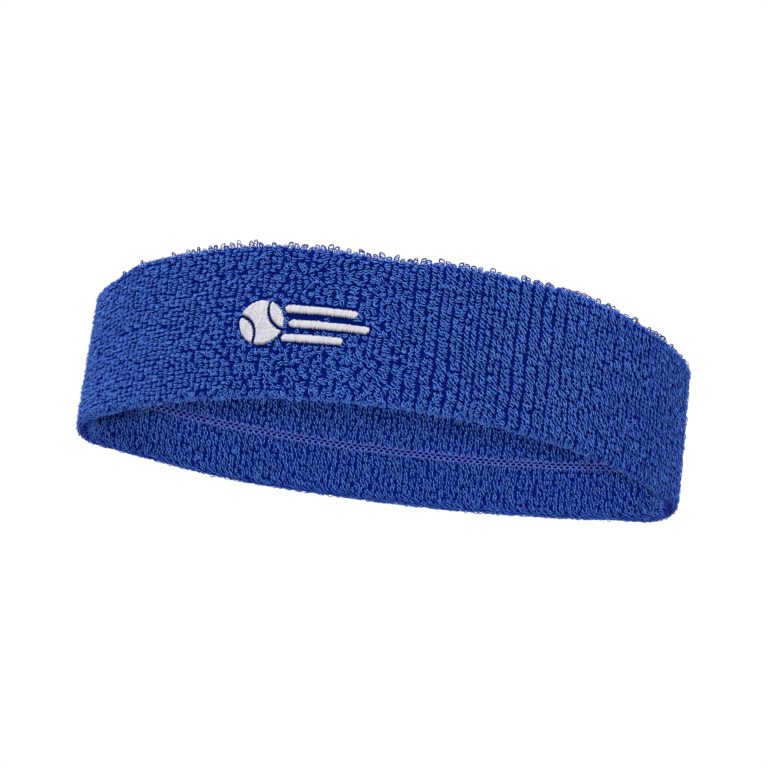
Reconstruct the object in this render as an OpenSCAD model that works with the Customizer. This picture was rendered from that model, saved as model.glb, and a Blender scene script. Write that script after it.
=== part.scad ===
// Terry sports headband, standing open on its lower fold.
// A knitted terry tube is folded to a double wall, and its two raw edges meet
// in a flat seam on the inner face. Units are millimetres, +Z is up and the
// front of the band faces -Y.

/* [Band] */
// Length of the open band, left end to right end, outside
band_length = 196; // [180:1:220]
// Height of the band between its two folds
band_height = 50; // [44:1:64]
// Thickness of the whole wall: two layers of cloth and their pile
wall_thickness = 6; // [5.8:0.1:7]

/* [Open shape] */
// How far the front bows out from the line that joins the ends
front_depth = 66; // [56:1:80]
// How far the back bows out from the same line
back_depth = 32; // [28:1:50]
// Outer bend radius at the left end of the front
front_left_bend = 36; // [24:1:44]
// Outer bend radius at the right end of the front
front_right_bend = 18; // [12:1:30]
// Outer bend radius at the left end of the back
back_left_bend = 12; // [10:1:20]
// Outer bend radius at the right end of the back
back_right_bend = 16; // [10:1:20]

/* [Cloth] */
// Thickness of the loop pile
pile_thickness = 1.3; // [1.1:0.1:1.4]
// Thickness of the knitted ground under the pile
ground_thickness = 1; // [0.9:0.05:1.1]
// Outer radius of the folded edges
fold_radius = 2.2; // [1.8:0.1:2.4]
// Free space between two neighbouring layers
layer_gap = 0.05; // [0.04:0.01:0.08]

/* [Elastic] */
// Number of covered elastic yarns in each wall
elastic_count = 9; // [5:1:12]
// Diameter of one covered elastic yarn
elastic_diameter = 0.5; // [0.4:0.05:0.6]

/* [Seam] */
// Height of the seam above the lower fold
seam_height = 18; // [14:1:24]
// Distance between the two rows of needle thread
seam_row_distance = 1.5; // [1.3:0.1:1.8]
// Diameter of one row of needle thread
seam_thread_diameter = 0.8; // [0.6:0.1:0.8]

/* [Embroidered mark] */
// Distance of the mark's middle from the middle of the front, along the wall
mark_offset = 29; // [26:1:50]
// Height of the mark's middle above the lower fold
mark_height = 23.5; // [18:0.5:30]
// Length of the mark
mark_length = 40; // [34:1:44]
// Diameter of the ball at the mark's left end
ball_diameter = 14; // [12:0.5:16]
// Height of one of the three speed bars
bar_height = 2.4; // [2:0.1:2.8]
// How far the satin stitches sit below the tips of the pile
mark_sink = 0.3; // [0.2:0.05:0.5]
// Thickness of the bobbin thread behind the mark
bobbin_thickness = 0.15; // [0.1:0.05:0.2]
// Thickness of the backing sheet behind the bobbin thread
backing_thickness = 0.1; // [0.1:0.05:0.2]
// How far the backing sheet reaches past the mark on every side
backing_margin = 3; // [2:0.5:4]

/* [Hidden] */
$fn = 180;

// How far a cutting shape reaches past the face that it cuts
tiny = 0.01;

// The part of a bend that plugs into a bow, and how much its section is inset
plug_length = 0.3;
plug_inset = 0.02;
$inset = 0;

wall_half = wall_thickness / 2;
ground_out = wall_half - pile_thickness - layer_gap;
ground_in = ground_out - ground_thickness;
ground_base = wall_half - ground_out;
hollow_base = wall_half - ground_in;
hidden_face = ground_in - elastic_diameter / 2;
slit_half = 0.35;
channel_half = seam_row_distance / 2 + seam_thread_diameter / 2 + 2 * layer_gap;
elastic_step = (band_height - 4 * hollow_base) / (elastic_count - 1);

front_bow = bow_radius(front_depth, front_left_bend);
front_line = (front_depth - back_depth) / 2;
mark_angle = mark_offset / front_bow * 180 / PI;
ball_radius = ball_diameter / 2;
ball_x = ball_radius - mark_length / 2;
ball_tilt = 28;
ball_line = 0.9;
ball_line_radius = 0.46 * ball_diameter;
ball_line_centre = 0.66 * ball_diameter;
bar_step = 4.6;
bar_gap = 1.7;
bar_ends = [0.7, 1, 0.84];
pocket_margin = 0.25;
backing_corner = 4;

pile_blue = [0.14, 0.27, 0.62];
ground_blue = [0.06, 0.13, 0.38];
seam_violet = [0.29, 0.29, 0.70];
thread_white = [0.88, 0.87, 0.90];
backing_white = [0.80, 0.80, 0.80];
elastic_grey = [0.55, 0.58, 0.66];

// ---- the open shape: every wall is a wide bow that runs into a tight end bend ----

// Radius of the bow that ends tangent to a bend of the given radius, to a thousandth
function bow_radius(depth, bend) =
    let (reach = band_length / 2 - bend)
    round(500 * (pow(depth, 2) - pow(bend, 2) + pow(reach, 2)) / (depth - bend)) / 1000;

// A quarter of the band, swept from the middle of a wall to the end of the band. The bend
// is a hair thinner than the bow and runs a little way into it, so that they join as one.
module quarter(depth, bend) {
    reach = band_length / 2 - bend;
    bow = bow_radius(depth, bend);
    bow_angle = round(100 * atan2(reach, bow - depth)) / 100;
    plug_angle = round(100 * plug_length / bend * 180 / PI) / 100;
    translate([0, depth - bow, 0])
        rotate_extrude(start = 90 - bow_angle, angle = bow_angle)
            translate([bow - wall_half, 0]) children();
    translate([reach, 0, 0])
        rotate_extrude(angle = 90 - bow_angle + plug_angle)
            translate([bend - wall_half, 0]) let ($inset = plug_inset) children();
}

// Sweeps a wall section all round. x is the distance outward from the middle
// of the wall and y is the height.
module around() {
    translate([0, front_line, 0]) {
        quarter(back_depth, back_right_bend) children();
        mirror([1, 0, 0]) quarter(back_depth, back_left_bend) children();
        mirror([0, 1, 0]) quarter(front_depth, front_right_bend) children();
        mirror([1, 0, 0]) mirror([0, 1, 0]) quarter(front_depth, front_left_bend) children();
    }
}

// ---- sections of the wall ----

// A slab centred on the wall, with rounded folds at both ends. grow makes it larger all round.
module slab(thickness, low, rounding, grow) {
    half_thickness = thickness + grow;
    base = low - grow;
    radius = rounding + grow;
    translate([-half_thickness + radius, base])
        square([2 * (half_thickness - radius), band_height - 2 * base]);
    translate([-half_thickness, base + radius])
        square([2 * half_thickness, band_height - 2 * (base + radius)]);
    for (x = [-1, 1], y = [base + radius, band_height - base - radius])
        translate([x * (half_thickness - radius), y]) circle(radius);
}

module pile_section() {
    difference() {
        slab(wall_half, 0, fold_radius, -$inset);
        slab(wall_half - pile_thickness, pile_thickness, fold_radius - pile_thickness, $inset);
        slit(channel_half + $inset);
    }
}

module ground_section() {
    difference() {
        slab(ground_out, ground_base, fold_radius - ground_base, -$inset);
        slab(ground_in, hollow_base, ground_in / 2, $inset);
        slit(slit_half + $inset);
        for (side = [-1, 1], height = elastic_heights(side))
            translate([side * ground_in, height])
                square(elastic_diameter + 2 * (layer_gap + $inset), center = true);
    }
}

// The opening between the two raw edges on the inner face
module slit(half_height) {
    translate([-wall_thickness, seam_height - half_height])
        square([wall_thickness, 2 * half_height]);
}

// Heights of the elastic yarns of a wall, at even steps, with none across the seam
function elastic_heights(side) = [
    for (row = [0 : elastic_count - 1])
        let (height = 2 * hollow_base + row * elastic_step)
        if (side > 0 || abs(height - seam_height) > channel_half) height
];

module yarn_rows(side) {
    for (height = elastic_heights(side))
        translate([side * ground_in, height]) circle(d = elastic_diameter - 2 * $inset);
}

// ---- the embroidered mark: a ball with a curved line on each side, and three speed bars ----

module ball_outline() {
    difference() {
        circle(ball_radius);
        rotate(ball_tilt)
            for (side = [-1, 1])
                translate([side * ball_line_centre, 0])
                    difference() {
                        circle(ball_line_radius + ball_line / 2);
                        circle(ball_line_radius - ball_line / 2);
                    }
    }
}

// One bar with round ends, from clear of the ball to its own share of the mark's length
module bar_outline(row, grow) {
    y = (row - 1) * bar_step;
    start = ball_x + sqrt(pow(ball_radius, 2) - pow(y, 2)) + bar_gap + bar_height / 2;
    end = start + (mark_length / 2 - start) * bar_ends[row] - bar_height / 2;
    radius = bar_height / 2 + grow;
    translate([start, y - radius]) square([end - start, 2 * radius]);
    translate([start, y]) circle(radius);
    translate([end, y]) circle(radius);
}

module mark_outline() {
    translate([ball_x, 0]) ball_outline();
    for (row = [0 : 2]) bar_outline(row, 0);
}

module mark_pocket_outline() {
    translate([ball_x, 0]) circle(ball_radius + pocket_margin);
    for (row = [0 : 2]) bar_outline(row, pocket_margin);
}

module backing_outline() {
    half_length = mark_length / 2 + backing_margin;
    half_height = ball_radius + backing_margin;
    flat_length = half_length - backing_corner;
    flat_height = half_height - backing_corner;
    translate([-flat_length, -half_height]) square([2 * flat_length, 2 * half_height]);
    translate([-half_length, -flat_height]) square([2 * half_length, 2 * flat_height]);
    for (x = [-1, 1], y = [-1, 1])
        translate([x * flat_length, y * flat_height]) circle(backing_corner);
}

// Stands an outline up on the front wall and cuts it to a curved sheet between two
// distances from the middle of the wall
module on_front(inner, outer) {
    middle = front_bow - wall_half;
    translate([0, front_line - front_depth + front_bow, 0])
        rotate([0, 0, -mark_angle])
            intersection() {
                difference() {
                    cylinder(r = middle + outer, h = band_height);
                    translate([0, 0, -tiny]) cylinder(r = middle + inner, h = band_height + 2 * tiny);
                }
                translate([0, -middle + wall_thickness, mark_height])
                    rotate([90, 0, 0]) linear_extrude(2 * wall_thickness) children();
            }
}

// ---- sub-parts ----

module terry_pile() {
    color(pile_blue)
        difference() {
            around() pile_section();
            on_front(0, wall_thickness) mark_pocket_outline();
        }
}

module ground_knit() {
    color(ground_blue) around() ground_section();
}

module elastic_yarns_outer_wall() {
    color(elastic_grey) around() yarn_rows(1);
}

module elastic_yarns_inner_wall() {
    color(elastic_grey) around() yarn_rows(-1);
}

module seam_needle_thread(side) {
    color(seam_violet)
        around()
            translate([-ground_out - seam_thread_diameter / 2 - layer_gap,
                       seam_height + side * seam_row_distance / 2])
                circle(d = seam_thread_diameter - 2 * $inset);
}

// The looper thread runs inside the fold and reaches through the slit between the needle rows
module seam_looper_thread() {
    web_half = seam_row_distance / 2 - seam_thread_diameter / 2 - layer_gap;
    web_length = ground_thickness + seam_thread_diameter;
    flange = 0.25;
    color(seam_violet)
        around()
            translate([-ground_in + layer_gap, seam_height]) {
                bar(-web_length, flange, web_half);
                bar(0, flange, seam_row_distance);
            }
}

// A bar of a section between two distances, as far above its middle as below
module bar(inner, outer, half_height) {
    translate([inner + $inset, -half_height + $inset])
        square([outer - inner - 2 * $inset, 2 * (half_height - $inset)]);
}

module embroidery_top_thread() {
    color(thread_white)
        on_front(ground_out + layer_gap, wall_half - mark_sink) mark_outline();
}

module embroidery_bobbin_thread() {
    color(thread_white)
        on_front(hidden_face - layer_gap - bobbin_thickness, hidden_face - layer_gap) mark_outline();
}

module embroidery_backing() {
    face = hidden_face - bobbin_thickness - 2 * layer_gap;
    color(backing_white) on_front(face - backing_thickness, face) backing_outline();
}

terry_pile();
ground_knit();
elastic_yarns_outer_wall();
elastic_yarns_inner_wall();
seam_needle_thread(1);  // seam_needle_thread_upper
seam_needle_thread(-1);  // seam_needle_thread_lower
seam_looper_thread();
embroidery_top_thread();
embroidery_bobbin_thread();
embroidery_backing();
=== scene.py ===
"""A terry sports headband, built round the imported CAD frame.

A knitted ground is folded to a double wall. Pile loops stand on it, chain stitches and a looper
thread close the seam on the inner face, and a small mark is embroidered on the front.
"""
import math

import bpy
import numpy as np
from mathutils import Matrix, Vector


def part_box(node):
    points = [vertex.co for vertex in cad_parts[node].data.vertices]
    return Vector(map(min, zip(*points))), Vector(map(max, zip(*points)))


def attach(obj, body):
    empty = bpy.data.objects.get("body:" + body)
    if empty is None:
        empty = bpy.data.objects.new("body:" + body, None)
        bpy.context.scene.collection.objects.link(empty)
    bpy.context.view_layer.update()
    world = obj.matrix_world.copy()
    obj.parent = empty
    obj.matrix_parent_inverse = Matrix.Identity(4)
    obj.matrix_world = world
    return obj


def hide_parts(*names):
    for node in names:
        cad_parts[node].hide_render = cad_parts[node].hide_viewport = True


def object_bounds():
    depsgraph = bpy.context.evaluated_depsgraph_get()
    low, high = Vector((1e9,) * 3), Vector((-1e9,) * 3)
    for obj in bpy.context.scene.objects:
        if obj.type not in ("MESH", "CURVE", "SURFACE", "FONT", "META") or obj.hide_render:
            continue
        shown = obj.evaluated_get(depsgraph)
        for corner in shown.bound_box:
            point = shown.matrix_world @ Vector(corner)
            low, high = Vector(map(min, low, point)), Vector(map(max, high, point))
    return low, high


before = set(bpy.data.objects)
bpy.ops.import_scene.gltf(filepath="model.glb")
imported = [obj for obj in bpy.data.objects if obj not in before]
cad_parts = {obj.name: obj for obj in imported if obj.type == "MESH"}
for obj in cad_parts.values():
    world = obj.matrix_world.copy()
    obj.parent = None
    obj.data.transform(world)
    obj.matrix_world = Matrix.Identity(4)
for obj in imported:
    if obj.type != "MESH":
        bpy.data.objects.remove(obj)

cad_low, cad_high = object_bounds()
rng = np.random.default_rng(11)
MM = 0.001

# ---- the band, as the CAD frame holds it ----

HALF_LENGTH = (cad_high.x - cad_low.x) / 2
HEIGHT = cad_high.z - cad_low.z
WALL_HALF = 3.0 * MM        # half the thickness of the wall
# from the line between the two ends to the outer faces of the front and the back
FRONT_DEPTH, BACK_DEPTH = 66 * MM, 32 * MM
# outer radii of the bends where the front and the back meet at the ends
FRONT_LEFT_BEND, FRONT_RIGHT_BEND = 36 * MM, 18 * MM
BACK_LEFT_BEND, BACK_RIGHT_BEND = 12 * MM, 16 * MM
END_LINE = (FRONT_DEPTH - BACK_DEPTH) / 2   # y of the line between the two ends
SEAM_Z = (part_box("seam_looper_thread")[0][2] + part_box("seam_looper_thread")[1][2]) / 2

# ---- the cloth ----

GROUND_OUT = 1.5 * MM       # from the middle of the wall to the face that the loops stand on
GROUND_IN = 0.65 * MM       # from the middle of the wall to the hidden face
CROWN_OUT = 2.5 * MM        # how far out the rows of loops are evenly spaced over the folds
FOLD = WALL_HALF            # height of each fold's centre from the band's edge
WALES = 224                 # columns of loops round the band
COURSE = 1.45 * MM          # height of one row of loops
SEAM_CLEAR = 1.5 * MM       # from the seam's middle to the first row of loops on each side
SECTORS = 20                # the pile is made in this many pieces
STRANDS = (-1.0, 1.0, 0.1)  # where a loop's strands lie, in parts of its half width
STRAND_HEIGHT = (1.0, 0.96, 0.62)
# how light each strand is: the low middle strand gets painted shade
STRAND_PAINTED_LIGHT = (1.0, 1.0, 0.35)
STRAND_RADIUS = 0.15 * MM
STRAND_SIDES = 4
FOOT = 0.40 * MM            # half the distance between the two feet of a loop
SUNK = 0.2 * MM             # how deep a loop's feet are sunk in the ground
ROOT_PAINTED_SHADE = 0.14            # painted shade: tone of a loop's root at the ground; below it the yarn goes nearly black
RING_PAINTED_SHADE = (0.03, 0.28)    # painted shade and light: tone of an edge ring, dark on its lower side and lighter on its upper side
FIBRE_TONE = 0.4            # how much the fibre noise adds to the tone
TWIST = 9000                # turn of the twist's ripple, in radians for a metre of strand
UNDER_THINNING = 0.12       # share of the loops left out under the front's lower fold

# ---- the embroidered mark: a ball with two curved lines, and three speed bars ----

MARK_S = -29 * MM           # along the wall from the middle of the front
MARK_Z = 23.5 * MM
MARK_LENGTH = 40 * MM
BALL_RADIUS = 7 * MM
BALL_X = BALL_RADIUS - MARK_LENGTH / 2
BALL_TILT = math.radians(28)
BALL_LINE = 0.9 * MM        # width of the ball's two open lines
LINE_RADIUS = 0.92 * BALL_RADIUS
LINE_CENTRE = 1.32 * BALL_RADIUS
BAR_HEIGHT = 2.4 * MM
BAR_STEP = 4.6 * MM
BAR_GAP = 1.7 * MM
BAR_ENDS = (0.84, 1, 0.7)   # share of the mark's length that each bar reaches, from the top
STITCH_PITCH = 0.25 * MM
STITCH_LEAN = 0.16          # sideways run of a stitch for its height
STITCH_LONGEST = 4.6 * MM   # a longer stitch is split
STITCH_SPLIT_DIP = 0.12     # how far a split dips, where the outline is 1
STITCH_RADIUS = 0.19 * MM
STITCH_SIDES = 6
STITCH_OUT = 2.67 * MM      # from the middle of the wall to a stitch's middle line
STITCH_DIP = 0.62 * MM      # how far a stitch goes in at the outline
STITCH_CROWN = 0.10 * MM    # how far its middle rises above a straight line
MARK_CLEAR = 0.22 * MM      # from the mark's outline to the nearest loops
MARK_CLEAR_ABOVE = 0.65 * MM  # more than that above it, for the loops' lean


def smooth(x):
    """A smooth step from 0 at x = 0 to 1 at x = 1."""
    x = np.clip(x, 0, 1)
    return x * x * (3 - 2 * x)


def front_share(y, blend):
    """1 on the front and 0 on the back, with a smooth change over a length at the two ends."""
    return smooth(0.5 - (y - END_LINE) / blend)


# ---- shape of the ring ----

def ring_arcs():
    """Arcs of the middle of the wall, anticlockwise from the middle of the front: centre x and y,
    radius, first and last angle of the outward normal."""
    rows = []
    turn = math.pi / 2
    for depth, bend, side_y, side_x in (
        (FRONT_DEPTH, FRONT_RIGHT_BEND, -1, 1), (BACK_DEPTH, BACK_RIGHT_BEND, 1, 1),
        (BACK_DEPTH, BACK_LEFT_BEND, 1, -1), (FRONT_DEPTH, FRONT_LEFT_BEND, -1, -1),
    ):
        reach = HALF_LENGTH - bend
        bow = (depth**2 - bend**2 + reach**2) / (2 * (depth - bend))
        sweep = math.atan2(reach, bow - depth)
        start = {(-1, 1): -turn, (1, 1): 0, (1, -1): turn, (-1, -1): 2 * turn}[side_y, side_x]
        bow_arc = [0, END_LINE + side_y * (depth - bow), bow - WALL_HALF]
        bend_arc = [side_x * reach, END_LINE, bend - WALL_HALF]
        if side_x * side_y < 0:
            rows += [bow_arc + [start, start + sweep], bend_arc + [start + sweep, start + turn]]
        else:
            rows += [bend_arc + [start, start + turn - sweep],
                     bow_arc + [start + turn - sweep, start + turn]]
    return np.array(rows)


ARCS = ring_arcs()
ARC_LENGTHS = ARCS[:, 2] * (ARCS[:, 4] - ARCS[:, 3])
ARC_STARTS = np.concatenate([[0], np.cumsum(ARC_LENGTHS)])
ROUND = ARC_STARTS[-1]      # distance round the middle of the wall
WALE = ROUND / WALES        # width of one column of loops


def ring(s):
    """Point on the middle of the wall and outward normal, both in plan, at distance s round it."""
    s = np.mod(s, ROUND)
    i = np.clip(np.searchsorted(ARC_STARTS, s, side="right") - 1, 0, len(ARCS) - 1)
    centre, radius = ARCS[i, :2], ARCS[i, 2]
    angle = ARCS[i, 3] + (s - ARC_STARTS[i]) / radius
    normal = np.stack([np.cos(angle), np.sin(angle)], -1)
    return centre + normal * radius[..., None], normal


# ---- section of the wall: from the seam up the inner face, over the top fold, down the outer
# face, round the lower fold and up the inner face to the seam again ----

SECTION_PARTS = np.cumsum([
    0, HEIGHT - FOLD - SEAM_Z, math.pi * CROWN_OUT, HEIGHT - 2 * FOLD,
    math.pi * CROWN_OUT, SEAM_Z - FOLD,
])
SECTION = SECTION_PARTS[-1]


def section(w):
    """Angle of the outward normal in the section, and height of the middle of the wall, at w."""
    angle = np.interp(w, SECTION_PARTS, [math.pi, math.pi, 0, 0, -math.pi, -math.pi])
    height = np.interp(w, SECTION_PARTS, [SEAM_Z, HEIGHT - FOLD, HEIGHT - FOLD, FOLD, FOLD, SEAM_Z])
    return angle, height


def w_on_front(z):
    """Place in the section of height z on the outer face."""
    return SECTION_PARTS[2] + (HEIGHT - FOLD - z)


def at(s, w, out):
    """Points of the wall: s round the band, w round the section, out from the middle of the wall."""
    angle, height = section(w)
    middle, normal = ring(s)
    across = (np.cos(angle) * out)[..., None] * normal
    z = height + np.sin(angle) * out
    return np.concatenate([middle + across, z[..., None]], -1)


def inner_line(s, z, out):
    """Points on the inner face at height z, out from the middle of the wall."""
    middle, normal = ring(s)
    return np.concatenate([middle - normal * out[..., None], z[..., None]], -1)


def directions(s, w):
    """Unit vectors of the wall at s, w: along the band, along the section, and out of the cloth."""
    angle, _ = section(w)
    _, normal = ring(s)
    zero = np.zeros_like(angle)
    along = np.stack([-normal[..., 1], normal[..., 0], zero], -1)
    cos, sin = np.cos(angle)[..., None], np.sin(angle)[..., None]
    flat = np.concatenate([normal, zero[..., None]], -1)
    up = np.array([0.0, 0.0, 1.0])
    return along, sin * flat - cos * up, cos * flat + sin * up


# ---- the soft waves of the two edges: place along the plan as a share of its half length, and
# how far the front's top edge and the back's lower edge rise there ----

WAVE_PLACE = np.array([-1.0, -0.93, -0.86, -0.74, -0.58, -0.45, -0.28, -0.1, 0, 0.12, 0.3,
                       0.45, 0.55, 0.65, 0.8, 0.93, 1.0]) * HALF_LENGTH
TOP_WAVE_FRONT = np.array([-2.0, -1.5, 1.1, 1.4, 1.8, 1.8, 0.7, -0.8, -1.3, 0.2, 0.3, 1.0, 1.8,
                           1.6, 1.3, 1.3, 0.6]) * MM
LOW_WAVE_BACK = np.array([-1.0, -1.0, -0.9, -0.9, -1.3, -1.4, -1.0, -0.6, -0.6, -0.6, -0.6,
                          -0.5, -0.5, -0.6, -0.7, -1.3, -1.0]) * MM
RIGHT_PULL = 0.25 * MM      # how far the right end is pulled in


def wave(points):
    """The points with the waves of the two edges added, and the right end pulled in a little."""
    x, y, z = points[..., 0], points[..., 1], points[..., 2]
    front = front_share(y, 20 * MM)
    top = np.interp(x, WAVE_PLACE, TOP_WAVE_FRONT) * front
    low = np.interp(x, WAVE_PLACE, LOW_WAVE_BACK) * (1 - front)
    share = smooth(z / HEIGHT)
    pull = RIGHT_PULL * smooth((x / HALF_LENGTH - 0.85) / 0.15)
    return np.stack([x - pull, y, z + top * share + low * (1 - share)], -1)


# ---- smooth noise on the cloth ----

def cloth_noise(seed, cells_round, cells_across):
    """A function of s and w with values from -1 to 1 that changes smoothly and closes round the band."""
    grid = np.random.default_rng(seed).uniform(-1, 1, (cells_round, cells_across + 2))

    def value(s, w):
        x = np.mod(s / ROUND, 1) * cells_round
        y = np.clip(w / SECTION, 0, 1) * cells_across
        i, j = np.floor(x).astype(int), np.floor(y).astype(int)
        fx, fy = smooth(x - i), smooth(y - j)
        i0, i1 = i % cells_round, (i + 1) % cells_round
        low = grid[i0, j] * (1 - fx) + grid[i1, j] * fx
        high = grid[i0, j + 1] * (1 - fx) + grid[i1, j + 1] * fx
        return low * (1 - fy) + high * fy

    return value


# ---- meshes ----

def mesh_object(name, points, quads, strand=None, tone=None):
    """An object from arrays of points and four-sided faces. tone is how light the yarn is at each
    point, and strand is how far along and at what angle round its strand the point lies."""
    mesh = bpy.data.meshes.new(name)
    mesh.vertices.add(len(points))
    mesh.vertices.foreach_set("co", np.ascontiguousarray(wave(points), np.float32).ravel())
    mesh.loops.add(4 * len(quads))
    mesh.loops.foreach_set("vertex_index", np.ascontiguousarray(quads, np.int32).ravel())
    mesh.polygons.add(len(quads))
    mesh.polygons.foreach_set("loop_start", np.arange(0, 4 * len(quads), 4, dtype=np.int32))
    mesh.polygons.foreach_set("use_smooth", np.ones(len(quads), bool))
    mesh.update(calc_edges=True)
    for key, values in (("tone", tone), ("strand", strand)):
        if values is not None:
            kind, field = ("FLOAT", "value") if values.ndim == 1 else ("FLOAT_VECTOR", "vector")
            data = mesh.attributes.new(key, kind, "POINT").data
            data.foreach_set(field, np.ascontiguousarray(values, np.float32).ravel())
    mesh.validate()
    ob = bpy.data.objects.new(name, mesh)
    bpy.context.scene.collection.objects.link(ob)
    return ob


def unit(vectors):
    """The vectors at length 1."""
    return vectors / (np.linalg.norm(vectors, axis=-1, keepdims=True) + 1e-12)


def sides_along(tangent):
    """A direction across each line that turns as little as it can from point to point."""
    side = np.empty_like(tangent)
    side[:, 0] = unit(np.cross(tangent[:, 0], [0.31, 0.52, 0.79]))
    for k in range(1, tangent.shape[1]):
        along = (side[:, k - 1] * tangent[:, k]).sum(-1, keepdims=True)
        side[:, k] = unit(side[:, k - 1] - tangent[:, k] * along)
    return side


def tubes(lines, radius, sides=STRAND_SIDES, flat=None, closed=False):
    """Points, faces and strand coordinates of round tubes along many lines at once.
    lines is (tubes, points, 3). flat = (direction, share) squeezes the section along a direction."""
    count, length = lines.shape[:2]
    if closed:
        tangent = unit(np.roll(lines, -1, 1) - np.roll(lines, 1, 1))
    else:
        tangent = unit(np.gradient(lines, axis=1))
    if flat is None:
        side, squeeze = sides_along(tangent), 1
    else:
        side, squeeze = unit(np.cross(tangent, flat[0])), flat[1]
    other = np.cross(tangent, side)
    turn = np.arange(sides) * 2 * math.pi / sides
    radius = np.broadcast_to(np.asarray(radius, float), (count, length))[..., None, None]
    cos, sin = np.cos(turn)[:, None], np.sin(turn)[:, None]
    rings = lines[:, :, None] + radius * (
        cos * side[:, :, None] + squeeze * sin * other[:, :, None])
    index = np.arange(count * length * sides).reshape(count, length, sides)
    across = np.roll(index, -1, 2)
    if closed:
        corners = index, across, np.roll(across, -1, 1), np.roll(index, -1, 1)
    else:
        corners = index[:, :-1], across[:, :-1], across[:, 1:], index[:, 1:]
    quads = np.stack(corners, -1).reshape(-1, 4)
    if flat is not None:
        # a flat strand of six sides gets two quads on each end
        quads = np.concatenate([
            quads, index[:, 0, [0, 5, 4, 3]], index[:, 0, [0, 3, 2, 1]],
            index[:, -1, [0, 1, 2, 3]], index[:, -1, [0, 3, 4, 5]]])
    steps = np.linalg.norm(np.diff(lines, axis=1, prepend=lines[:, :1]), axis=-1)
    strand = np.zeros((count, length, sides, 3))
    strand[..., 0] = np.cumsum(steps, 1)[:, :, None]
    strand[..., 1] = turn
    return rings.reshape(-1, 3), quads, strand.reshape(-1, 3)


# ---- materials ----

def add_node(tree, kind, inputs=None, **settings):
    """A shader node with its settings and the values of its inputs."""
    node = tree.nodes.new("ShaderNode" + kind)
    for key, value in settings.items():
        setattr(node, key, value)
    for key, value in (inputs or {}).items():
        node.inputs[key].default_value = value
    return node


def add_ramp(tree, *stops):
    """A colour ramp whose stops are pairs of a place and a colour."""
    ramp = add_node(tree, "ValToRGB")
    elements = ramp.color_ramp.elements
    for place, _ in stops[1:-1]:
        elements.new(place)
    for element, (place, colour) in zip(elements, stops):
        element.position = place
        element.color = (*colour, 1)
    return ramp


def new_material(name, roughness, specular, sheen=0.0, sheen_tint=(1, 1, 1)):
    """A material, its node tree and its shader."""
    mat = bpy.data.materials.new(name)
    mat.use_nodes = True
    shader = mat.node_tree.nodes["Principled BSDF"]
    for key, value in (
        ("Roughness", roughness), ("Specular IOR Level", specular), ("Sheen Weight", sheen),
        ("Sheen Roughness", 0.45), ("Sheen Tint", (*sheen_tint, 1)),
    ):
        shader.inputs[key].default_value = value
    return mat, mat.node_tree, shader


def yarn_material(name, shade, dark, light, sheen=0.08, sheen_tint=(0.3, 0.6, 1.0)):
    """Spun yarn: it runs from a painted deep shade over dark to light by the mesh's tone and a fine
    fibre noise, and a slanted ripple along the strand gives the twist. On the pile and the seam the tone
    carries painted shade."""
    mat, tree, shader = new_material(name, 0.5, 0.15, sheen, sheen_tint)
    link = tree.links.new
    coords = add_node(tree, "TexCoord")
    fibre = add_node(tree, "TexNoise", {"Scale": 1800, "Detail": 3})
    link(coords.outputs["Object"], fibre.inputs["Vector"])
    tone = add_node(tree, "Attribute", attribute_name="tone")
    mixed = add_node(tree, "Math", {1: FIBRE_TONE}, operation="MULTIPLY_ADD")
    link(fibre.outputs["Fac"], mixed.inputs[0])
    link(tone.outputs["Fac"], mixed.inputs[2])
    fibre_mean = FIBRE_TONE / 2
    ramp = add_ramp(tree, (0.18, shade), (fibre_mean + ROOT_PAINTED_SHADE, dark), (1.0, light))
    link(mixed.outputs["Value"], ramp.inputs["Fac"])
    link(ramp.outputs["Color"], shader.inputs["Base Color"])
    strand = add_node(tree, "Attribute", attribute_name="strand")
    split = add_node(tree, "SeparateXYZ")
    link(strand.outputs["Vector"], split.inputs["Vector"])
    twist = add_node(tree, "Math", {1: TWIST}, operation="MULTIPLY_ADD")
    link(split.outputs["X"], twist.inputs[0])
    link(split.outputs["Y"], twist.inputs[2])
    ripple = add_node(tree, "Math", operation="SINE")
    link(twist.outputs["Value"], ripple.inputs[0])
    bump = add_node(tree, "Bump", {"Strength": 0.35, "Distance": 0.04 * MM})
    link(ripple.outputs["Value"], bump.inputs["Height"])
    link(bump.outputs["Normal"], shader.inputs["Normal"])
    return mat


def knit_material(name, dark, light):
    """Plain knit: rows of small stitches, drawn by waves across the cloth and broken up by noise."""
    mat, tree, shader = new_material(name, 0.95, 0.05)
    link = tree.links.new
    coords = add_node(tree, "TexCoord")
    noise = add_node(tree, "TexNoise", {"Scale": 900, "Detail": 4})
    rows = add_node(tree, "TexWave", {"Scale": 1 / COURSE / 2, "Distortion": 3},
                    bands_direction="Z")
    for texture in (noise, rows):
        link(coords.outputs["Object"], texture.inputs["Vector"])
    mixed = add_node(tree, "Math", operation="MULTIPLY")
    link(noise.outputs["Fac"], mixed.inputs[0])
    link(rows.outputs["Fac"], mixed.inputs[1])
    ramp = add_ramp(tree, (0.0, dark), (1.0, light))
    link(mixed.outputs["Value"], ramp.inputs["Fac"])
    link(ramp.outputs["Color"], shader.inputs["Base Color"])
    bump = add_node(tree, "Bump", {"Distance": 0.2 * MM})
    link(mixed.outputs["Value"], bump.inputs["Height"])
    link(bump.outputs["Normal"], shader.inputs["Normal"])
    return mat


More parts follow.
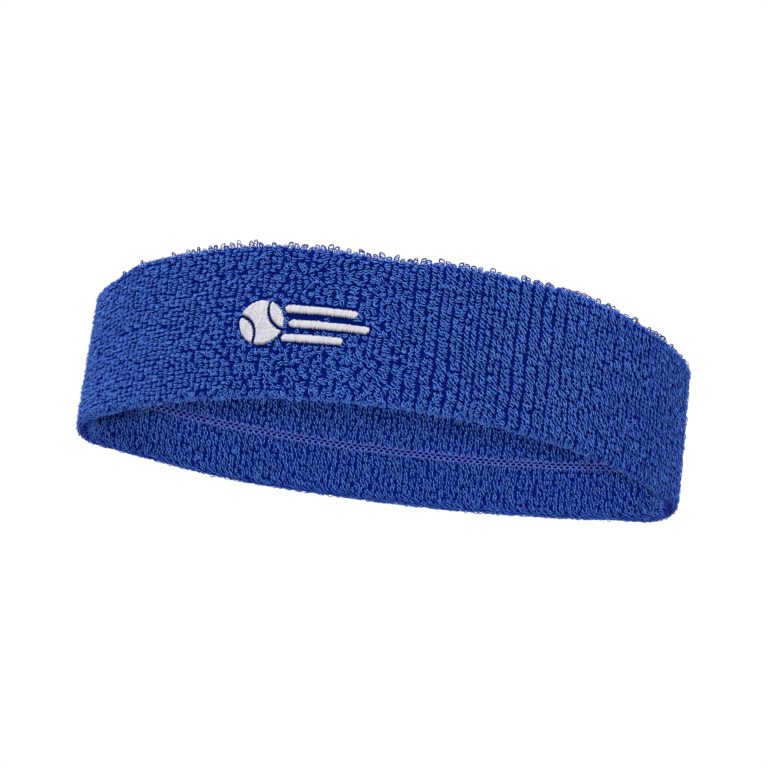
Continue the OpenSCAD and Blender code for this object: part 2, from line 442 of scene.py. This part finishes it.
def floor_material():
    """Pale grey near the band, white farther off, and clear from below."""
    mat = bpy.data.materials.new("floor")
    mat.use_nodes = True
    tree = mat.node_tree
    link = tree.links.new
    shader = tree.nodes["Principled BSDF"]
    shader.inputs["Base Color"].default_value = (0.82, 0.82, 0.83, 1)
    shader.inputs["Roughness"].default_value = 0.9
    coords = add_node(tree, "TexCoord")
    away = add_node(tree, "VectorMath", operation="LENGTH")
    link(coords.outputs["Object"], away.inputs[0])
    fade = add_node(tree, "MapRange", {"From Min": 0.15, "From Max": 0.9},
                    interpolation_type="SMOOTHSTEP")
    link(away.outputs["Value"], fade.inputs["Value"])
    far = add_node(tree, "Emission")
    top = add_node(tree, "MixShader")
    link(fade.outputs["Result"], top.inputs["Fac"])
    link(shader.outputs["BSDF"], top.inputs[1])
    link(far.outputs["Emission"], top.inputs[2])
    geometry = add_node(tree, "NewGeometry")
    clear = add_node(tree, "BsdfTransparent")
    both = add_node(tree, "MixShader")
    link(geometry.outputs["Backfacing"], both.inputs["Fac"])
    link(top.outputs["Shader"], both.inputs[1])
    link(clear.outputs["BSDF"], both.inputs[2])
    link(both.outputs["Shader"], tree.nodes["Material Output"].inputs["Surface"])
    return mat


# ---- camera, world, lights and floor ----

def toward(azimuth, elevation):
    """Unit vector from the band at an azimuth from the front and an elevation, both in degrees."""
    a, e = math.radians(azimuth), math.radians(elevation)
    return Vector((math.sin(a) * math.cos(e), -math.cos(a) * math.cos(e), math.sin(e)))


def add_camera():
    """Looks up at the band from below the front, rolled a little."""
    aim = Vector((-1.6, 15.1, 30.2)) * MM
    distance = 919.6 * MM
    roll = math.radians(7.26)
    back = toward(azimuth=-1.08, elevation=-20.3)
    data = bpy.data.cameras.new("camera")
    data.sensor_width = 36
    data.lens = 133.4
    data.clip_start, data.clip_end = 0.01, 60
    cam = bpy.data.objects.new("camera", data)
    turn = (-back).to_track_quat("-Z", "Y").to_matrix() @ Matrix.Rotation(roll, 3, "Z")
    cam.matrix_world = Matrix.Translation(aim + back * distance) @ turn.to_4x4()
    bpy.context.scene.collection.objects.link(cam)
    bpy.context.scene.camera = cam


def add_lamp(name, azimuth, elevation, size, power):
    """A round lamp that looks at the band."""
    distance = 1.2
    back = toward(azimuth, elevation)
    data = bpy.data.lights.new(name, "AREA")
    data.shape, data.size, data.energy = "DISK", size, power
    lamp = bpy.data.objects.new(name, data)
    lamp.location = back * distance
    lamp.rotation_mode = "QUATERNION"
    lamp.rotation_quaternion = (-back).to_track_quat("-Z", "Y")
    bpy.context.scene.collection.objects.link(lamp)


def add_studio():
    """A white room that gives a little less light than the camera sees, and three lamps."""
    scene = bpy.context.scene
    scene.view_settings.view_transform = "Standard"
    scene.world = bpy.data.worlds.new("studio")
    scene.world.use_nodes = True
    tree = scene.world.node_tree
    room = tree.nodes["Background"]
    room.inputs["Color"].default_value = (1, 1, 1, 1)
    path = add_node(tree, "LightPath")
    strength = add_node(tree, "MapRange", {"To Min": 0.67, "To Max": 1.0})
    tree.links.new(path.outputs["Is Camera Ray"], strength.inputs["Value"])
    tree.links.new(strength.outputs["Result"], room.inputs["Strength"])
    add_lamp("key", azimuth=-20, elevation=52, size=0.5, power=12.0)
    add_lamp("fill", azimuth=-4, elevation=-15.5, size=0.08, power=6.0)
    add_lamp("back", azimuth=160, elevation=35, size=0.5, power=5.0)


def add_floor():
    """A pale floor just under the band. It throws no light or shadow upward."""
    half = 5.0
    level = cad_low.z - 0.2 * MM
    mesh = bpy.data.meshes.new("floor")
    mesh.from_pydata([(-half, -half, level), (half, -half, level), (half, half, level),
                      (-half, half, level)], [], [(0, 1, 2, 3)])
    mesh.materials.append(floor_material())
    floor = bpy.data.objects.new("floor", mesh)
    bpy.context.scene.collection.objects.link(floor)
    for ray in ("diffuse", "glossy", "transmission", "volume_scatter", "shadow"):
        setattr(floor, "visible_" + ray, False)


# ---- the ground ----

def finish_piece(ob, material, node):
    """Gives a piece its material, rides it on the band and puts it in place of a CAD node."""
    ob.data.materials.append(material)
    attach(ob, "root")
    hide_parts(node)
    return ob


def make_ground(material):
    """The folded ground cloth, a closed skin with its outer and its hidden face. It swells a
    little under the lower fold and where its two raw edges meet at the seam."""
    across, about = 120, 400
    edge, low = 0.02 * MM, 0.10 * MM
    rough, fold_swell, seam_swell = 0.08 * MM, 0.35 * MM, 0.45 * MM
    s = np.arange(about) / about * ROUND
    w = np.linspace(edge, SECTION - edge, across)
    s, w = np.meshgrid(s, w, indexing="ij")
    angle, _ = section(w)
    from_seam = np.minimum(w, SECTION - w)
    relief = rough * cloth_noise(12, 200, 60)(s, w)
    relief += fold_swell * np.clip(-np.sin(angle), 0, 1)
    relief += seam_swell * smooth(1.6 - from_seam / (1.0 * MM))
    outer = at(s, w, GROUND_OUT - low + relief)
    inner = at(s, w, np.full_like(s, GROUND_IN))
    points = np.concatenate([outer, inner[:, ::-1]], 1)
    rows = points.shape[1]
    index = np.arange(about * rows).reshape(about, rows)
    right, down = np.roll(index, -1, 0), np.roll(index, -1, 1)
    quads = np.stack([index, right, np.roll(right, -1, 1), down], -1).reshape(-1, 4)
    ob = mesh_object("ground_cloth", points.reshape(-1, 3), quads)
    return finish_piece(ob, material, "ground_knit")


# ---- the pile ----

def outer_share(angle):
    """1 on the outer face and 0 on the inner one."""
    return smooth(0.5 + 0.9 * np.cos(angle))


def loop_fields(s, w):
    """How the loops at s, w stand, as a dict of arrays.

    turn is 0 for a loop along the band and a right angle for one up and down. height and half are
    how far it stands out and half its width, lean_s and lean_w how far its crown leans along the
    band and along the section, and apart the distance between its strands. tall is 1 for a single
    ring on the top edge and hem is 1 where loops lie flat on the lower fold. thin says how much
    thinner the yarn is, and dim_and_painted_shade how much darker: at random on the curls, and
    painted shade on the hidden side of the front's lower fold and towards the front's two ends."""
    n = len(s)
    plan, _ = ring(s)
    x = plan[:, 0] / HALF_LENGTH
    front = front_share(plan[:, 1], 16 * MM)
    angle, _ = section(w)
    wild = 0.5 + 0.5 * cloth_noise(21, 40, 9)(s, w)
    drift = cloth_noise(22, 26, 6)(s, w)
    swell = cloth_noise(23, 60, 20)(s, w)

    # the two faces and the folds; the front's outer loops reach under its lower fold
    outer = outer_share(angle + 0.5 * front * (angle < 0))
    fold = np.abs(np.sin(angle))
    flat = 1 - fold
    # the lower fold: open curls along the front, and a flat hem at the ends and the back
    loose = front * smooth((1 - np.abs(x)) / 0.14)
    hem = fold * (angle < 0) * (1 - loose)
    curl = fold * (angle < 0) * loose
    # the outer face: its left half, its right end, and both ends, where it is fine and even
    left = outer * np.interp(x, [-1, -0.45, -0.15], [1, 1, 0])
    right = outer * smooth((x - 0.5) / 0.4)
    calm = outer * flat * np.maximum(smooth((x - 0.45) / 0.35), smooth((-0.65 - x) / 0.25))
    # round the front's lower fold: loops hang down before it, and are short beneath it; on the side
    # turned to the back they get painted shade
    hang = loose * smooth(-angle / 0.9) * (1 - smooth((-angle - 1.3) / 0.7))
    under = front * smooth((-angle - 0.9) / 0.6) * smooth((math.pi + angle) / 0.9)
    shade = front * smooth((-angle - 1.75) / 0.4) * smooth((math.pi + angle) / 0.6)

    # the curls darker at random, and painted shade on the side of the front's lower fold turned to the
    # back
    dim_and_painted_shade = 0.2 * curl * rng.uniform(0, 1, n) + 0.8 * shade
    # painted shade: the front's outer loops darker towards its right end and, less, its left end
    dim_and_painted_shade += outer * front * (0.15 * smooth((x - 0.35) / 0.4) + 0.07 * smooth((-x - 0.5) / 0.3))

    # directions in degrees: steeper from left to right on the outer face, upright on the inner
    turn_outer = np.radians(np.interp(x, [-1, -0.6, -0.2, 0.2, 0.6, 1], [24, 20, 22, 36, 60, 68]))
    turn_inner = np.radians(76 + 8 * drift)
    spread = np.radians(np.interp(x, [-1, -0.6, -0.25, 0.1, 1], [10, 16, 40, 18, 8]))
    spread *= 1 - 0.5 * calm
    turn = outer * (turn_outer + drift * spread) + (1 - outer) * turn_inner
    turn += rng.normal(0, 1, n) * np.where(outer > 0.5, spread * (0.3 + 0.7 * wild), np.radians(7))
    turn *= 1 - 0.95 * hem - 0.3 * fold * (1 - hem)
    turn += curl * rng.normal(0, 0.8, n)

    # single rings on the front's top edge, fewer at the left end, over a row of shorter loops
    tall = (angle > math.radians(60)) & (angle < math.radians(98))
    tall &= rng.uniform(0, 1, n) < front * np.interp(x, [-0.85, -0.6, 0.9], [0.05, 0.75, 0.75])
    turn *= 1 - 0.6 * tall
    edge = (angle > 0) * smooth(fold * 1.5) * ~tall

    # sizes in millimetres
    height = (1.60 - 0.35 * (1 - outer) * flat - 0.45 * calm - 1.00 * hem + 0.05 * curl
              - 0.70 * edge + 0.15 * tall - 0.45 * under - 0.15 * right) * MM
    height *= 1 + (0.10 - 0.07 * hem + 0.08 * tall) * rng.normal(0, 1, n)
    height *= 1 + 0.08 * swell
    width = outer * np.interp(x, [-1, -0.5, -0.15, 1], [0.70, 0.72, 0.95, 0.92])
    width += 0.95 * (1 - outer) + 0.35 * hem + 0.1 * curl + 0.2 * tall
    half = width * MM * (1 + 0.08 * rng.normal(0, 1, n))
    lean_s = (-0.15 * outer * flat + (0.15 + 0.3 * tall) * rng.normal(0, 1, n)) * MM
    lean_w = 0.75 * outer * flat * np.cos(turn) + 0.25 * calm + 0.6 * hang
    lean_w = (lean_w + 0.2 * (1 - hem) * rng.normal(0, 1, n)) * MM
    apart = (0.36 + 0.10 * np.abs(np.sin(turn)) - 0.24 * tall - 0.06 * np.maximum(left, calm)
             + 0.06 * curl - 0.10 * hem) * MM
    thin = 0.12 * left + 0.14 * right
    return dict(turn=turn, height=height, half=half, lean_s=lean_s, lean_w=lean_w, apart=apart,
                tall=tall.astype(float), hem=hem, thin=thin, dim_and_painted_shade=dim_and_painted_shade)


def loop_lines(s, w, points):
    """Centre lines of the strands of every loop, as (loops, strands, points, 3), with the
    strands' thickness, how light each point's yarn is, with painted shade towards the ground, and 1
    where it is a single edge ring."""
    n, strands = len(s), len(STRANDS)
    f = {key: value[:, None, None] for key, value in loop_fields(s, w).items()}
    base = at(s, w, np.full(n, GROUND_OUT - SUNK))
    along, down, out = directions(s, w)
    t = np.linspace(0, 1, points)
    arc = np.pi * t
    rise = np.sin(arc) ** (0.75 - 0.25 * f["hem"])
    swell = np.minimum(1, 4.5 * t * (1 - t))
    strand_place = np.array(STRANDS)[:, None]
    strand_height = np.array(STRAND_HEIGHT)[:, None]
    strand_painted_light = np.array(STRAND_PAINTED_LIGHT)[:, None]

    def vary(amount):
        return amount * rng.normal(0, 1, (n, strands, 1))

    size = f["half"] * (1 + vary(0.10))
    height = f["height"] * (1 + vary(0.08)) * strand_height
    reach = -np.cos(arc) * (FOOT + (size - FOOT) * swell)
    roll = rng.normal(0, 0.3, (n, 1, 1)) + rng.normal(0, 0.5, (n, 1, 1)) * (t - 0.5)
    spread = f["apart"] * (0.35 + 0.75 * rise) * (strand_place + vary(0.2))
    side, radial = spread * np.cos(roll), spread * np.sin(roll)
    angle = (f["turn"] + vary(0.16) * (1 - f["hem"])) * smooth(rise * 1.2)
    cos, sin = np.cos(angle), np.sin(angle)
    hang = rise**3.5
    a = reach * cos + (f["lean_s"] + vary(0.12 * MM)) * hang
    b = reach * sin + (f["lean_w"] + vary(0.12 * MM)) * hang
    a = a - side * sin - radial * np.cos(arc) * cos
    b = b + side * cos - radial * np.cos(arc) * sin
    c = height * rise + radial * np.sin(arc)
    lines = (base[:, None, None] + a[..., None] * along[:, None, None]
             + b[..., None] * down[:, None, None] + c[..., None] * out[:, None, None])
    taper = np.clip(12 * t * (1 - t), 0.1, 1)
    thick = STRAND_RADIUS * (1 + vary(0.08)) * (1 + 0.08 * f["tall"] - f["thin"]) * taper
    # painted shade: the yarn darker towards the ground and lighter towards the crown, the low middle
    # strand darker still, then darkened by dim_and_painted_shade; a little varies at random
    light = np.clip(c / (0.8 * MM + 0.5 * f["height"]), 0, 1) ** 1.3 * strand_painted_light
    light = np.clip((light + vary(0.08)) * (1 - f["dim_and_painted_shade"]), ROOT_PAINTED_SHADE, 1)
    return lines, thick, light, np.broadcast_to(f["tall"], light.shape)


def loop_places(columns, rows, step, groove, sway):
    """Places s and w of the loops in some columns, and their angles in the section.

    Columns draw together in pairs where the cloth is ribbed, right of the middle, and each loop
    strays a little, most where the cloth is loose, left of it. Shifts are in parts of a wale. The
    rows on the back's lower fold are staggered."""
    j, i = np.meshgrid(columns, np.arange(rows + 1), indexing="ij")
    j, i = j.ravel(), i.ravel()
    s, w = j * WALE, SEAM_CLEAR + i * step
    angle, _ = section(w)
    outer = outer_share(angle)
    x = ring(s)[0][:, 0] / HALF_LENGTH
    ribbed = outer * np.interp(x, [-0.1, 0.1, 0.4, 0.6, 1.0], [0.2, 1, 1, 0.5, 0.4])
    loose = outer * np.interp(x, [-0.75, -0.4, -0.05, 0.1], [0, 1, 1, 0])
    pair = np.where(j % 2 == 0, 1, -1)
    s = s + pair * WALE * (0.03 + 0.09 * smooth(0.5 + 1.2 * groove(s, w))) * ribbed
    s = s + WALE * 0.18 * sway(s, w)
    s = s + WALE * (0.09 - 0.04 * ribbed + 0.11 * loose) * rng.normal(0, 1, len(s))
    staggered = (np.sin(angle) < -0.3) & (ring(s)[0][:, 1] > END_LINE)
    s = s + WALE * 0.5 * (i % 2) * staggered
    w = w + step * 0.10 * rng.normal(0, 1, len(s))
    return s, w, angle


def stands(s, w, angle):
    """False for the loops that are left out: under the mark or so close above it that they would
    lean over it, and a few at random under the front's lower fold."""
    x = np.mod(s + ROUND / 2, ROUND) - ROUND / 2 - MARK_S
    y = section(w)[1] - MARK_Z
    away = np.minimum(outside_mark(x, y), outside_mark(x, y - MARK_CLEAR_ABOVE))
    clear = (outer_share(angle) < 0.9) | (away > MARK_CLEAR)
    under_front = smooth(-1.1 * angle - 0.5) * smooth((math.pi + angle) / 0.9)
    under_front *= ring(s)[0][:, 1] < END_LINE
    return clear & (rng.uniform(0, 1, len(s)) > UNDER_THINNING * under_front)


def make_pile(material):
    """Pile loops in rows and columns over the whole cloth, in sectors round the band."""
    rows = int((SECTION - 2 * SEAM_CLEAR) / COURSE)
    step = (SECTION - 2 * SEAM_CLEAR) / rows
    groove = cloth_noise(31, 36, 5)
    sway = cloth_noise(32, 50, 24)
    points = 9
    pieces = []
    for sector in range(SECTORS):
        columns = np.arange(sector * WALES // SECTORS, (sector + 1) * WALES // SECTORS)
        s, w, angle = loop_places(columns, rows, step, groove, sway)
        keep = stands(s, w, angle)
        lines, thick, light, tall = loop_lines(s[keep], w[keep], points)
        lines = lines.reshape(-1, points, 3)
        skin, quads, strand = tubes(lines, thick.reshape(-1, points))
        # an edge ring stands alone: painted light and shade make it lighter on its upper side and dark
        # on its lower side, as if lit from above only
        above = (skin.reshape(-1, points, STRAND_SIDES, 3) - lines[:, :, None])[..., 2]
        ring_painted_shade = np.interp(above.ravel(), [0, STRAND_RADIUS], RING_PAINTED_SHADE)
        tall, light = np.repeat(tall.ravel(), STRAND_SIDES), np.repeat(light.ravel(), STRAND_SIDES)
        tone = np.where(tall > 0, ring_painted_shade, light)
        ob = mesh_object(f"terry_pile_{sector + 1:02d}", skin, quads, strand, tone)
        pieces.append(finish_piece(ob, material, "terry_pile"))
    return pieces


# ---- the seam ----

def make_seam(material):
    """Two rows of chain stitches and a looper thread that runs to and fro between their rows,
    each thread laid double. A stitch is one wale long."""
    per_stitch = 16
    radius = 0.145 * MM
    bow = 0.30 * MM             # how far a stitch bows along the band
    seam_out = 2.25 * MM        # from the middle of the wall
    over = 0.18 * MM            # how far a thread rises where it crosses another
    t = np.arange(WALES * per_stitch) / per_stitch
    place = t / WALES * ROUND
    wander = 0.2 * MM * cloth_noise(41, 60, 3)(place, 0 * t)
    pieces = []
    # each thread's middle height and its swing up and down, in mm, and the shift of its phase
    for name, level, swing, shift in (
        ("seam_needle_thread_upper", 0.95, 0.42, 0), ("seam_looper_thread", 0.0, 0.55, math.pi),
        ("seam_needle_thread_lower", -0.95, 0.42, 0),
    ):
        phase = 2 * math.pi * t + shift
        plies = []
        for ply in (-1, 1):
            s = place - bow * np.sin(2 * phase) + 0.08 * MM * ply
            z = SEAM_Z + wander + (level + (swing + 0.10 * ply) * np.cos(phase)) * MM
            out = seam_out + over * np.cos(phase + shift) + 0.06 * MM * ply
            plies.append(inner_line(s, z, out))
        points, quads, strand = tubes(np.stack(plies), radius, closed=True)
        # painted shade: each thread darker where it dips in and lighter where it rises over another
        tone = np.tile(np.repeat(0.6 + 0.35 * np.cos(phase + shift), STRAND_SIDES), len(plies))
        ob = mesh_object(name + "_stitches", points, quads, strand, tone)
        pieces.append(finish_piece(ob, material, name))
    return pieces


# ---- the mark ----

def bar_spans():
    """Height, first and last x of each of the three bars, ends included."""
    spans = []
    for row, share in enumerate(BAR_ENDS):
        y = (1 - row) * BAR_STEP
        start = BALL_X + math.sqrt(BALL_RADIUS**2 - y**2) + BAR_GAP
        middle = start + BAR_HEIGHT / 2
        spans.append((y, start, middle + (MARK_LENGTH / 2 - middle) * share))
    return spans


def outside_mark(x, y):
    """Distance from the mark's outline, negative inside it. The ball's two lines don't count."""
    away = np.hypot(x - BALL_X, y) - BALL_RADIUS
    half = BAR_HEIGHT / 2
    for height, start, end in bar_spans():
        over = x - np.clip(x, start + half, end - half)
        away = np.minimum(away, np.hypot(over, y - height) - half)
    return away


def on_ball_line(x, y):
    """True on the two curved lines of the ball, which stay open between the stitches."""
    u = (x - BALL_X) * math.cos(BALL_TILT) + y * math.sin(BALL_TILT)
    v = -(x - BALL_X) * math.sin(BALL_TILT) + y * math.cos(BALL_TILT)
    hit = np.zeros(np.shape(x), bool)
    for side in (-1, 1):
        gap = np.abs(np.hypot(u - side * LINE_CENTRE, v) - LINE_RADIUS)
        hit |= gap < BALL_LINE / 2
    return hit & (np.hypot(x - BALL_X, y) < BALL_RADIUS)


def split_stitch(x, low, high, first):
    """One column of satin from low to high, split where it is too long. The first split lies a
    share of the longest stitch above low."""
    shortest = 0.9 * MM
    splits = np.arange(low + STITCH_LONGEST * first, high - shortest, STITCH_LONGEST)
    cuts = [low, *splits, high]
    dips = [1.0, *[STITCH_SPLIT_DIP] * len(splits), 1.0]
    return [(x + p * STITCH_LEAN, p, x + q * STITCH_LEAN, q, *dips[i:i + 2])
            for i, (p, q) in enumerate(zip(cuts, cuts[1:]))]


def ball_stitches():
    """Satin of the ball, in upright columns that stop at its outline and its two lines."""
    stitches = []
    inset, shortest, fine_step = 0.2 * MM, 0.5 * MM, 0.08 * MM
    y = np.arange(-BALL_RADIUS, BALL_RADIUS, fine_step)
    columns = np.arange(BALL_X - BALL_RADIUS + inset, BALL_X + BALL_RADIUS, STITCH_PITCH)
    for k, x in enumerate(columns):
        leaning = x + y * STITCH_LEAN
        inside = (np.hypot(leaning - BALL_X, y) < BALL_RADIUS) & ~on_ball_line(leaning, y)
        edges = np.flatnonzero(np.diff(np.concatenate([[0], inside.astype(int), [0]])))
        for a, b in zip(edges[::2], edges[1::2]):
            if y[b - 1] - y[a] >= shortest:
                stitches += split_stitch(x, y[a], y[b - 1], first=0.3 + 0.37 * (k % 3))
    return stitches


def bar_stitches():
    """Satin of the three bars, across each bar and shorter at its round ends."""
    stitches = []
    half = BAR_HEIGHT / 2
    inset, shortest = 0.1 * MM, 0.3 * MM
    for height, start, end in bar_spans():
        for x in np.arange(start + inset, end, STITCH_PITCH):
            over = max(start + half - x, x - (end - half), 0)
            reach = math.sqrt(max(half**2 - over**2, shortest**2))
            run = reach * STITCH_LEAN
            stitches.append((x - run, height - reach, x + run, height + reach, 1, 1))
    return stitches


def make_mark(material):
    """Satin stitches of thick white thread, each a flattened strand that dips in at its ends."""
    stitches = np.array(ball_stitches() + bar_stitches())
    start, end, dips = stitches[:, :2], stitches[:, 2:4], stitches[:, 4:]
    n = len(stitches)
    points = 9
    jag = rng.normal(0, 0.10 * MM, (n, 2)) * dips
    length = np.hypot(*(end - start).T)[:, None]
    direction = (end - start) / length
    start = start - direction * jag[:, :1]
    end = end + direction * jag[:, 1:]
    t = np.linspace(0, 1, points)
    place = start[:, None] + (end - start)[:, None] * t[None, :, None]
    run = t[None] * length
    near = 0.35 * MM
    dip = dips[:, :1] * (1 - smooth(run / near)) + dips[:, 1:] * (1 - smooth((length - run) / near))
    layer = rng.uniform(0, 0.05 * MM, (n, 1))     # no two stitches lie in one plane
    out = STITCH_OUT - STITCH_DIP * dip + STITCH_CROWN * np.sin(np.pi * t)[None] + layer
    s = MARK_S + place[..., 0]
    w = w_on_front(MARK_Z + place[..., 1])
    lines = at(s, w, out)
    _, _, normal = directions(s, w)
    radius = STITCH_RADIUS * (1 - 0.25 * dip) * (1 + 0.05 * rng.normal(0, 1, (n, 1)))
    skin, quads, strand = tubes(lines, radius, STITCH_SIDES, flat=(normal, 0.6))
    tone = np.repeat(np.clip(rng.normal(0.5, 0.12, n), 0, 1), points * STITCH_SIDES)
    ob = mesh_object("embroidered_mark", skin, quads, strand, tone)
    return finish_piece(ob, material, "embroidery_top_thread")


# ---- everything in place ----

def dress_inner_nodes(material, *nodes):
    """A knitted finish for CAD nodes that stay as they are, hidden in the fold."""
    for node in nodes:
        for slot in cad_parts[node].material_slots:
            slot.material = material


add_camera()
add_studio()
add_floor()

# each yarn's painted deep shade, dark and light colour, and each knit's dark and light colour
pile_yarn = yarn_material("pile_yarn", (0.0, 0.002, 0.03), (0.0, 0.020, 0.37), (0.076, 0.20, 0.61))
# the ground's knit: blue like the pile, painted darker as shade between the loops
ground_yarn = knit_material("ground_yarn", (0.0, 0.005, 0.10), (0.001, 0.014, 0.22))
seam_yarn = yarn_material("seam_thread", (0.01, 0.01, 0.15), (0.035, 0.055, 0.32),
                          (0.12, 0.17, 0.60))
white_yarn = yarn_material("white_thread", (0.30, 0.29, 0.33), (0.36, 0.35, 0.39),
                           (0.55, 0.54, 0.58), sheen=0.0)
elastic_yarn = knit_material("elastic_yarn", (0.45, 0.46, 0.50), (0.78, 0.79, 0.82))
under_yarn = knit_material("under_thread", (0.50, 0.50, 0.52), (0.80, 0.80, 0.82))
backing_felt = knit_material("backing_felt", (0.62, 0.62, 0.63), (0.85, 0.85, 0.86))

ground = make_ground(ground_yarn)
on_ground = make_pile(pile_yarn) + make_seam(seam_yarn) + [make_mark(white_yarn)]
dress_inner_nodes(elastic_yarn, "elastic_yarns_outer_wall", "elastic_yarns_inner_wall")
dress_inner_nodes(under_yarn, "embroidery_bobbin_thread")
dress_inner_nodes(backing_felt, "embroidery_backing")
